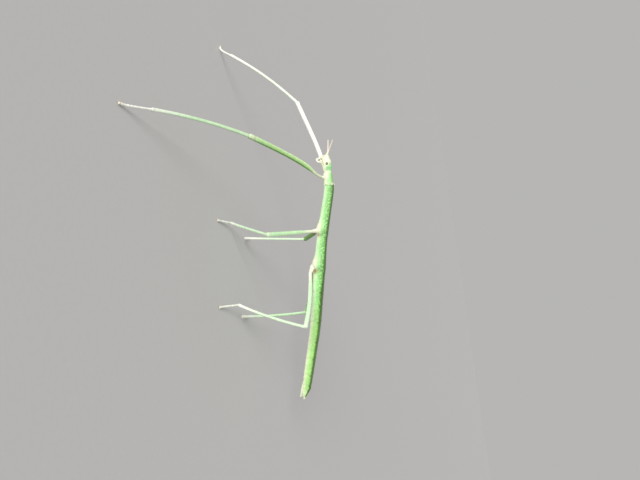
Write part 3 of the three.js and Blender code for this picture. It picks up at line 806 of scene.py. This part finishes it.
def coxaOf(pair, hip, joint):
    thick = pair["coxa"][1]

    def shape(share):
        half = thick * along(coxa["widths"], share)
        return half, half, 2.2

    def push(share, angle):
        ridge = coxa["ridge"] * ridgesAt(angle, coxa["ridges"], 0.2)
        return ridge * bell(share, 0.35, 0.25) + 0.02 * bell(share, 0.55, 0.03)

    def marks(share, angle):
        under = 0.5 - 0.5 * math.cos(turn(angle, 0.4))
        # brown in the waist and underneath: painted shade
        shade = 0.5 * bell(share, coxa["waist"], 0.03) + 0.5 * ease(share, 0.62, 0.7) * under
        return {"cream": 1.0, "brown": clamp(pair["coxaPaintedShade"] * shade), "pale": 0.2}

    return limbTube("coxa", smoothPath([hip, joint], 8), upward, shape, marks,
                    coxa["rings"], coxa["sides"], push, (0.3, 0.5))


def makeLeg(stance):  # its four pieces, and the toe and heading that its claws start from
    pair = legPairs[stance["pair"]]
    hip = beside(pair["at"], -pair["below"], handSide[stance["side"]] * pair["aside"])
    heel, bend = Vector(stance["ankle"]), Vector(stance["bend"])
    knee = kneeOf(hip, heel, pair["thigh"], pair["shin"], bend)
    way = onLine(pair["at"])[1]
    lead = ((knee - hip).normalized() - way * stance["lean"] - upward * stance["drop"]).normalized()
    joint = hip + lead * pair["coxa"][0]
    middle = joint.lerp(knee, stance["middle"]) + Vector(stance["arch"])

    shin = (heel - knee).normalized()
    arch = (bend - shin * bend.dot(shin)).normalized() * 2 * pair["tibia"][1]
    sway = shin.cross(arch).normalized() * 2 * stance["sway"]

    # the foot comes down in a curve and ends flat on the floor
    turned = math.radians(stance["toes"])
    heading = Vector((math.cos(turned), math.sin(turned), 0))
    fall = heel.z - foot["soleHeight"]
    slant = math.sqrt(pair["tarsus"] ** 2 - fall ** 2)
    toe = Vector((heel.x, heel.y, foot["soleHeight"])) + heading * slant * 0.97
    instep = toe - heading * slant * 0.7 + upward * fall * 0.65
    sole = toe - heading * slant * 0.28 + upward * fall * 0.08
    pieces = [
        coxaOf(pair, hip, joint),
        femurOf(stance, pair, smoothPath([joint, joint + lead * stance["bow"], middle, knee]), bend),
        tibiaOf(stance, pair, smoothPath([knee, knee.lerp(heel, 0.5) + arch + sway, heel]), bend),
        footOf(smoothPath([heel, instep, sole, toe])),
    ]
    return pieces, toe, heading


feet = []
for stance in stances:
    pieces, toe, heading = makeLeg(stance)
    skinPieces += pieces
    feet.append((stance, toe, heading))
print("legs made")

# Small warts, in rows along the thorax and fewer of them on the abdomen. A row is its angle from
# the back's middle, the distance between two and their radius
granules = {
    "rows": ((0.55, 0.55, 0.055), (0.95, 0.42, 0.07), (1.22, 0.36, 0.085), (1.55, 0.5, 0.065),
             (1.95, 0.9, 0.05)),
    "from": 6.4,
    "to": 24.6,
    "rearRows": ((0.7, 1.1, 0.045), (1.22, 0.75, 0.055)),
    "rearTo": 48.0,
    "cream": 0.35,
    "size": (1.1, 1.0, 0.75),  # along, aside and out, in radii
    # the two pale pairs at the front rim of the thorax: at, angle, radius
    "humps": ((6.22, 0.72, 0.32), (6.2, 1.72, 0.3)),
    "humpCream": 0.9,
}


def newWart():
    deselectAll()
    bpy.ops.mesh.primitive_uv_sphere_add(segments=7, ring_count=5, radius=1)
    return bpy.context.object


def placeWart(model, at, angle, radius, cream):
    spot, lift = trunkPoint(at, angle)
    out = (spot - trunkPoint(at, angle, 0.8)[0]).normalized()
    way = onLine(at)[1]
    wart = model.copy()
    wart.data = model.data.copy()
    bpy.context.collection.objects.link(wart)
    turnTo = Matrix((way, out.cross(way).normalized(), out)).transposed()
    values = trunkMarks(at, angle, lift)
    values["cream"] = clamp(values["cream"] + cream)
    for vertex in wart.data.vertices:
        local = Vector([c * size for c, size in zip(vertex.co, granules["size"])]) * radius
        vertex.co = (spot + turnTo @ local + Vector(bodyLine["origin"])) * mm
    setMarks(wart, {key: [values.get(key, 0.0)] * len(wart.data.vertices) for key in markNames})
    return wart


def makeGranules():
    model = newWart()
    warts = []
    for side in (-1, 1):
        rows = [(row, granules["from"], granules["to"]) for row in granules["rows"]]
        rows += [(row, granules["to"] + 0.6, granules["rearTo"]) for row in granules["rearRows"]]
        for (angle, spacing, radius), at, end in rows:
            while at < end:
                jitter = noise.noise(Vector((at * 3.1, angle * 7, side * 5)))
                size = radius * (1 + 0.7 * noise.noise(Vector((at * 5.7, angle, side))))
                place = side * (angle + 0.1 * jitter)
                warts.append(placeWart(model, at, place, size, granules["cream"]))
                at += spacing * (1 + 0.5 * jitter)
        for at, angle, radius in granules["humps"]:
            warts.append(placeWart(model, at, side * angle, radius, granules["humpCream"]))
    bpy.data.objects.remove(model)
    print("granules made,", len(warts))
    return warts


skin = finishMesh(joined("skin", skinPieces + makeGranules()))
print("skin made,", sum(len(p.vertices) - 2 for p in skin.data.polygons), "triangles")


def ball(name, centre, radii, detail=4):
    deselectAll()
    bpy.ops.mesh.primitive_ico_sphere_add(subdivisions=detail, radius=1)
    piece = bpy.context.object
    piece.name = name
    for vertex in piece.data.vertices:
        around = Vector([c * radius for c, radius in zip(vertex.co, radii)])
        vertex.co = (centre + around + Vector(bodyLine["origin"])) * mm
    return piece


def makeEye(hand):
    centre = beside(eye["at"], eye["up"], handSide[hand] * eye["aside"])
    radii = [eye["radius"] * stretch for stretch in (1.06, 1, 1)]
    return finishMesh(ball("eye_" + hand + "_lens", centre, radii))


# Feelers: two stout joints, then a ringed whip
feeler = {
    "at": 0.1, "up": 0.1, "aside": 0.27,
    "length": 3.1,
    "thick": 0.135,
    "spread": 11,  # degrees to the side
    "raise": {"left": 28.5, "right": 2},  # degrees up
    "bow": 0.06,
    "rings": 11,
    "joints": ((0.17, 0.012, 0.03), (0.33, 0.012, 0.025)),  # share, width, depth
}


def feelerShape(share):
    stout = 0.09 * (1 - ease(share, 0.1, 0.34)) + 0.02 * bell(share, 0.26, 0.05)
    ringed = 0.012 * math.sin(2 * math.pi * feeler["rings"] * share) * ease(share, 0.3, 0.4)
    groove = sum(depth * bell(share, place, width) for place, width, depth in feeler["joints"])
    half = feeler["thick"] * (1 - 0.12 * share) + stout + ringed - groove
    return half, half, 2


def makeFeeler(hand):
    side = handSide[hand]
    way, rise = onLine(0)[1:]
    lift, spread = math.radians(feeler["raise"][hand]), math.radians(feeler["spread"])
    ahead = way * -math.cos(lift) + rise * math.sin(lift)
    away = (ahead + Vector((0, side * math.tan(spread), 0))).normalized()
    base = beside(feeler["at"], feeler["up"], side * feeler["aside"])
    tip = base + away * feeler["length"]
    path = smoothPath([base - away * 0.1, base.lerp(tip, 0.5) + rise * feeler["bow"], tip])
    return finishMesh(limbTube(
        "feeler_" + hand, path, rise, feelerShape,
        lambda share, angle: {"pale": 1 - ease(share, 0.1, 0.4), "brown": share}, 110, 16))


claw = {
    "length": 0.6,
    "spread": 28,  # degrees between a hook and the foot's heading
    "ahead": 0.16,  # of the foot's end
    "high": 0.115,
    "wide": 0.1,
    "arch": 0.1,
    "tipHeight": 0.09,
    "pad": 0.2,
    "padAhead": 0.28,
}


def hookShape(share):
    return claw["high"] - 0.075 * share, claw["wide"] - 0.065 * share, 2


def makeClaws(stance, toe, heading):  # a pair of hooks with a soft pad between them
    across = heading.cross(upward)
    pad = ball("pad", toe + heading * claw["padAhead"] + upward * 0.02, [claw["pad"]] * 3, 3)
    setMarks(pad, {key: [0.0] * len(pad.data.vertices) for key in markNames})
    for vertex in pad.data.vertices:
        vertex.co.z = max(vertex.co.z, 0.0)
    parts = [pad]
    for hook in (-1, 1):
        angle = math.radians(hook * claw["spread"])
        way = heading * math.cos(angle) + across * math.sin(angle)
        base = toe + heading * claw["ahead"] + upward * 0.06
        arched = base + way * claw["length"] * 0.62 + upward * claw["arch"]
        tip = base + way * claw["length"]
        tip.z = claw["tipHeight"]
        parts.append(limbTube(
            "hook", smoothPath([base, arched, tip], 40), upward, hookShape,
            lambda share, angle: {"brown": ease(share, 0.7, 1.0)}, 26, 12, blunt=(0.6, 0.9), floor=0.0))
    return finishMesh(joined("claws_" + stance["side"] + "_" + stance["pair"] + "_hooks", parts))


# The keel-shaped plate under the tail
plate = {
    "from": 46.2,
    "length": 4.58,
    "wide": 0.45,
    "deep": 0.31,
    "thin": 0.34,
    "below": (0.5, 0.78),  # its depth under the body's line at its start and its end
    "keel": 0.03,
    "edge": 0.02,
    "rings": 71,
    "ends": ((0, 0.4), (0.004, 0.75)),  # rings that close both ends: share and part of the full size
}


def plateRing(share, narrow=1.0):
    at = plate["from"] + share * plate["length"]
    bulge = max(0.05, math.sin(math.pi * min(share * 0.7 + 0.12, 1))) ** 0.7
    below = mix(*plate["below"], share)
    marks = {"cream": 0.5, "pale": 0.35 * ease(share, 0.3, 0.8), "brown": 0.3 * ease(share, 0.95, 1.0),
             "rear": 0.6}

    def ring(angle, radial):
        c, s = math.cos(angle), math.sin(angle)
        keel = plate["keel"] * ridgesAt(angle, (math.pi,), 0.2) * ease(share, 0.1, 0.4)
        edge = plate["edge"] * ridgesAt(angle, (1.5, -1.5), 0.2)
        lift = c * (plate["thin"] / 2 if c > 0 else plate["deep"] * bulge + keel) * narrow * radial
        aside = s * (plate["wide"] * bulge + edge) * narrow * radial
        return beside(at, lift - below, aside), marks

    return ring


def makeTailPlate():
    rings = [plateRing(share, narrow) for share, narrow in plate["ends"]]
    rings += [plateRing(0.01 + 0.98 * i / (plate["rings"] - 1)) for i in range(plate["rings"])]
    rings += [plateRing(1 - share, narrow) for share, narrow in reversed(plate["ends"])]
    return finishMesh(tubeFrom("tail_plate", rings, 36))


eyes = {hand: makeEye(hand) for hand in handSide}
feelers = {hand: makeFeeler(hand) for hand in handSide}
claws = [makeClaws(*row) for row in feet]
tailPlate = makeTailPlate()
print("eyes, feelers, claws and tail plate made")


def linear(hexColour):
    parts = [int(hexColour[i:i + 2], 16) / 255 for i in (1, 3, 5)]
    return [p / 12.92 if p <= 0.04045 else ((p + 0.055) / 1.055) ** 2.4 for p in parts] + [1.0]


# A node with its settings, a socket's or a property's, and its links from (node, output)
def addNode(tree, kind, settings=None, links=None):
    node = tree.nodes.new("ShaderNode" + kind)
    for key, value in (settings or {}).items():
        if key == "stops":
            first, *middle, last = value
            ends = node.color_ramp.elements
            for stop, (place, colour) in ((ends[0], first), (ends[1], last)):
                stop.position, stop.color = place, linear(colour)
            for place, colour in middle:
                ends.new(place).color = linear(colour)
        elif isinstance(key, str) and hasattr(node, key):
            setattr(node, key, value)
        else:
            node.inputs[key].default_value = linear(value) if isinstance(value, str) else value
    for key, (source, output) in (links or {}).items():
        tree.links.new(source.outputs[output], node.inputs[key])
    return node


def newMaterial(name):
    material = bpy.data.materials.new(name)
    material.use_nodes = True
    tree = material.node_tree
    tree.nodes.clear()
    return material, tree


def perMetre(size):  # noise scale that gives features of this size in millimetres
    return 1 / (size * mm)


def texture(tree, kind, size, **settings):  # a pattern on the piece's own coordinates
    place = addNode(tree, "TexCoord")
    return addNode(tree, kind, {"Scale": perMetre(size), **settings}, {"Vector": (place, "Object")})


def markOf(tree, name):
    return addNode(tree, "Attribute", {"attribute_name": name}), "Fac"


def blendOf(tree, share, first, second, kind="MIX"):  # each a link, a hex colour or a number
    node = addNode(tree, "Mix", {"data_type": "RGBA", "blend_type": kind})
    for index, value in ((0, share), (6, first), (7, second)):
        if isinstance(value, tuple):
            tree.links.new(value[0].outputs[value[1]], node.inputs[index])
        elif isinstance(value, str):
            node.inputs[index].default_value = linear(value)
        else:
            node.inputs[index].default_value = value
    return node, 2


def mathOf(tree, operation, *values):  # each a link or a number
    numbers = {i: value for i, value in enumerate(values) if not isinstance(value, tuple)}
    links = {i: value for i, value in enumerate(values) if isinstance(value, tuple)}
    return addNode(tree, "Math", {"operation": operation, **numbers}, links), 0


def ranged(tree, source, low, high, fromMin=0.0, fromMax=1.0):
    ends = {"From Min": fromMin, "From Max": fromMax, "To Min": low, "To Max": high}
    return addNode(tree, "MapRange", ends, {"Value": source}), 0


def output(tree, shader):
    addNode(tree, "OutputMaterial", links={"Surface": (shader, 0)})


# Living insect cuticle: a thin waxy shell over green flesh, so light goes a little way in and
# the gloss is low and broken by fine pits
cuticle = {
    # the back ramp's dark end, for the strip along the back, is partly painted shade
    "back": ((0.0, "#cdf3c2"), (0.36, "#aaea98"), (0.62, "#86d466"), (1.0, "#466f1f")),
    "rear": "#bddb80",
    "rearShare": 0.4,
    "mintHead": "#a6e2a8",
    # thigh runs from the legs' painted light on the upper side to their painted shade below
    "thigh": ("#dcf8bc", "#62a034"),
    "mint": "#b6ebae",
    # ivory, through the pale mark, is partly painted light: the right fore leg and the leg tips
    "ivory": "#f3f4ec",
    "cream": "#f2f4d8",
    # brown is a dark joint colour and also painted shade at the leg roots and the far legs' bases
    "brown": "#8f7036",
    "mottle": 0.5,
    "streak": 1.6,
    "warts": 0.42,
    "pits": 0.16,
    "grain": 0.07,
    "roughness": (0.32, 0.58),
    "subsurfaceRadius": (0.6, 1.0, 0.35),
}


def cuticleMaterial():
    material, tree = newMaterial("waxyInsectCuticle")
    mark = {key: markOf(tree, key) for key in markNames}
    mottle = texture(tree, "TexNoise", cuticle["mottle"], Detail=5, Roughness=0.62)
    streak = texture(tree, "TexNoise", cuticle["streak"], Detail=2)
    pits = texture(tree, "TexVoronoi", cuticle["pits"])
    grain = texture(tree, "TexNoise", cuticle["grain"], Detail=3)
    warts = texture(tree, "TexVoronoi", cuticle["warts"], Randomness=0.85)

    # the back's tone, partly painted shade on its dark strip, wanders a little so that its edge is not
    # a drawn line
    wander = mathOf(tree, "MULTIPLY_ADD", (mottle, "Fac"), 0.34, -0.17)
    tone = mathOf(tree, "ADD", mark["dorsal"], wander)
    back = addNode(tree, "ValToRGB", {"stops": cuticle["back"]}, {"Fac": tone})
    rear = mathOf(tree, "MULTIPLY", mark["rear"], cuticle["rearShare"])
    body = blendOf(tree, rear, (back, 0), cuticle["rear"])
    body = blendOf(tree, mark["mint"], body, cuticle["mintHead"])
    thigh = blendOf(tree, mark["dorsal"], *cuticle["thigh"])
    leg = blendOf(tree, mark["mint"], thigh, cuticle["mint"])
    colour = blendOf(tree, mark["limb"], body, leg)
    for key, tint in (("cream", "cream"), ("pale", "ivory"), ("brown", "brown")):
        colour = blendOf(tree, mark[key], colour, cuticle[tint])

    # cloudy light and dark, and fine warts on the side and back, pale on top and dark between
    light = ranged(tree, (mottle, "Fac"), 0.86, 1.06, 0.3, 0.7)
    wash = ranged(tree, (streak, "Fac"), 0.94, 1.04, 0.3, 0.7)
    speck = ranged(tree, (warts, "Distance"), 1.22, 0.68, 0.1, 0.6)
    speckled = mathOf(tree, "MULTIPLY_ADD", mathOf(tree, "SUBTRACT", speck, 1.0), mark["rough"], 1.0)
    shades = mathOf(tree, "MULTIPLY", mathOf(tree, "MULTIPLY", light, wash), speckled)
    colour = blendOf(tree, 1.0, colour, shades, "MULTIPLY")

    rough = ranged(tree, (grain, "Fac"), *cuticle["roughness"])
    height = mathOf(tree, "MULTIPLY_ADD", (pits, "Distance"), 0.5, (grain, "Fac"))
    bump = addNode(tree, "Bump", {"Strength": 0.32, "Distance": 0.03 * mm}, {"Height": height})
    output(tree, addNode(tree, "BsdfPrincipled", {
        "IOR": 1.5, "Coat Weight": 0.12, "Coat Roughness": 0.28,
        "Subsurface Weight": 0.15, "Subsurface Scale": 0.4 * mm,
        "Subsurface Radius": cuticle["subsurfaceRadius"],
    }, {"Base Color": colour, "Roughness": rough, "Normal": (bump, 0)}))
    return material


# Compound eye: hundreds of tiny lenses over dark pigment, so a moist gloss over a fine pebbled grid
compoundEye = {"pigment": ((0.3, "#525d2a"), (0.55, "#7a8446"), (0.75, "#a0a864")), "lens": 0.045,
               "depth": 0.3}


def eyeMaterial():
    material, tree = newMaterial("compoundEyeLenses")
    lenses = texture(tree, "TexVoronoi", compoundEye["lens"])
    depth = texture(tree, "TexNoise", compoundEye["depth"], Detail=2)
    pigment = addNode(tree, "ValToRGB", {"stops": compoundEye["pigment"]}, {"Fac": (depth, "Fac")})
    rim = ranged(tree, (lenses, "Distance"), 1.0, 0.6, 0.2, 0.6)
    colour = blendOf(tree, 1.0, (pigment, 0), rim, "MULTIPLY")
    domed = mathOf(tree, "SUBTRACT", 1.0, (lenses, "Distance"))
    bump = addNode(tree, "Bump", {"Strength": 0.4, "Distance": 0.012 * mm}, {"Height": domed})
    output(tree, addNode(tree, "BsdfPrincipled", {
        "Roughness": 0.16, "IOR": 1.52, "Coat Weight": 0.6, "Coat Roughness": 0.06,
    }, {"Base Color": colour, "Normal": (bump, 0)}))
    return material


# Horn-like cuticle of the claws and feelers: translucent, harder and glossier than the body
horn = {
    "feelerCuticle": {"root": "#efe8dc", "tip": "#e4dace", "roughness": 0.5},
    "clawHorn": {"root": "#f0ead8", "tip": "#c4ab84", "roughness": 0.32},
}


def hornMaterial(name):
    material, tree = newMaterial(name)
    grain = texture(tree, "TexNoise", 0.12, Detail=4)
    colour = blendOf(tree, markOf(tree, "brown"), horn[name]["root"], horn[name]["tip"])
    colour = blendOf(tree, markOf(tree, "pale"), colour, cuticle["cream"])
    shade = ranged(tree, (grain, "Fac"), 0.82, 1.08, 0.3, 0.7)
    colour = blendOf(tree, 1.0, colour, shade, "MULTIPLY")
    bump = addNode(tree, "Bump", {"Strength": 0.25, "Distance": 0.01 * mm}, {"Height": (grain, "Fac")})
    output(tree, addNode(tree, "BsdfPrincipled", {
        "Roughness": horn[name]["roughness"], "IOR": 1.54,
        "Subsurface Weight": 0.1, "Subsurface Scale": 0.2 * mm,
    }, {"Base Color": colour, "Normal": (bump, 0)}))
    return material


def dress(piece, material, slotName, *nodes):
    piece.data.materials.clear()
    piece.data.materials.append(material)
    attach(piece, "root")
    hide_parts(*nodes)


skinNodes = ["head", "labrum", "palp_left", "palp_right", "cercus_left", "cercus_right"]
skinNodes += [name for name, *rest in segments]
for stance in stances:
    ofLeg = "_" + stance["side"] + "_" + stance["pair"]
    skinNodes += [part + ofLeg for part in ("coxa", "femur", "tibia", "tarsus")]

cuticleSkin = cuticleMaterial()
dress(skin, cuticleSkin, "body_green", *skinNodes)
dress(tailPlate, cuticleSkin, "cream_skin", "subgenital_plate")
eyeLenses = eyeMaterial()
feelerHorn = hornMaterial("feelerCuticle")
clawHorn = hornMaterial("clawHorn")
for hand in handSide:
    dress(eyes[hand], eyeLenses, "eye", "eye_" + hand)
    dress(feelers[hand], feelerHorn, "feeler", "antenna_" + hand)
for piece in claws:
    dress(piece, clawHorn, "claw", piece.name.removesuffix("_hooks"))
print("materials set")

studio = {
    "floor": "#cac9c9",
    "floorSize": 8,  # metres
    "world": "#d1d0ce",
    "worldStrength": 0.74,
    # lamps: where each stands, its strength, how many degrees wide it looks, and its colour
    "lamps": {
        "key": ((-80, -150, 45), 3.1, 25, "#fffdf8"),
        "rim": ((60, 150, 120), 0.3, 50, "#f4f8ff"),
    },
}


def makeFloor():
    deselectAll()
    bpy.ops.mesh.primitive_grid_add(x_subdivisions=24, y_subdivisions=24, size=studio["floorSize"])
    floor = bpy.context.object
    floor.name = "floor"
    material, tree = newMaterial("mattPaper")  # seamless studio paper, matt and faintly fibrous
    fibre = texture(tree, "TexNoise", 0.8, Detail=3)
    shade = ranged(tree, (fibre, "Fac"), 0.97, 1.02)
    colour = blendOf(tree, 1.0, studio["floor"], shade, "MULTIPLY")
    output(tree, addNode(tree, "BsdfPrincipled", {"Roughness": 0.9}, {"Base Color": colour}))
    floor.data.materials.append(material)


def makeLight(name, place, power, spread, colour):  # a distant soft lamp, even all over the floor
    data = bpy.data.lights.new(name, "SUN")
    data.energy, data.angle, data.color = power, math.radians(spread), linear(colour)[:3]
    lamp = bpy.data.objects.new(name, data)
    bpy.context.scene.collection.objects.link(lamp)
    lamp.location = Vector(place) * mm
    lamp.rotation_euler = Vector(place).to_track_quat("Z", "Y").to_euler()


def makeWorld():
    world = bpy.data.worlds.new("studio")
    bpy.context.scene.world = world
    world.use_nodes = True
    background = world.node_tree.nodes["Background"]
    background.inputs["Color"].default_value = linear(studio["world"])
    background.inputs["Strength"].default_value = studio["worldStrength"]
    bpy.context.scene.view_settings.view_transform = "Standard"


# The camera stands to the insect's left. Down, roll and swing are degrees: it looks down at the
# floor, is turned to show the head up, and its sight swings off the frame's Y
view = {"place": (9.1292, -97.7368, 47.23), "lens": 31.16, "sensor": 36, "down": 14.33, "roll": 8.23,
        "swing": 0.83, "near": 0.001, "far": 50}


def makeCamera():
    data = bpy.data.cameras.new("camera")
    data.lens, data.sensor_width = view["lens"], view["sensor"]
    data.clip_start, data.clip_end = view["near"], view["far"]
    camera = bpy.data.objects.new("camera", data)
    bpy.context.scene.collection.objects.link(camera)
    down, roll, swing = [math.radians(view[key]) for key in ("down", "roll", "swing")]
    x = Vector((math.cos(swing), math.sin(swing), 0))
    y = Vector((-math.sin(swing), math.cos(swing), 0))
    tilted = y * math.sin(down) + upward * math.cos(down)  # square to its sight
    right = x * math.sin(roll) + tilted * math.cos(roll)
    up = -x * math.cos(roll) + tilted * math.sin(roll)
    ahead = y * math.cos(down) - upward * math.sin(down)
    matrix = Matrix((right, up, -ahead)).transposed().to_4x4()
    matrix.translation = Vector(view["place"]) * mm
    camera.matrix_world = matrix
    bpy.context.scene.camera = camera


makeFloor()
for name, settings in studio["lamps"].items():
    makeLight(name, *settings)
makeWorld()
makeCamera()

print("floor, lights and camera set")
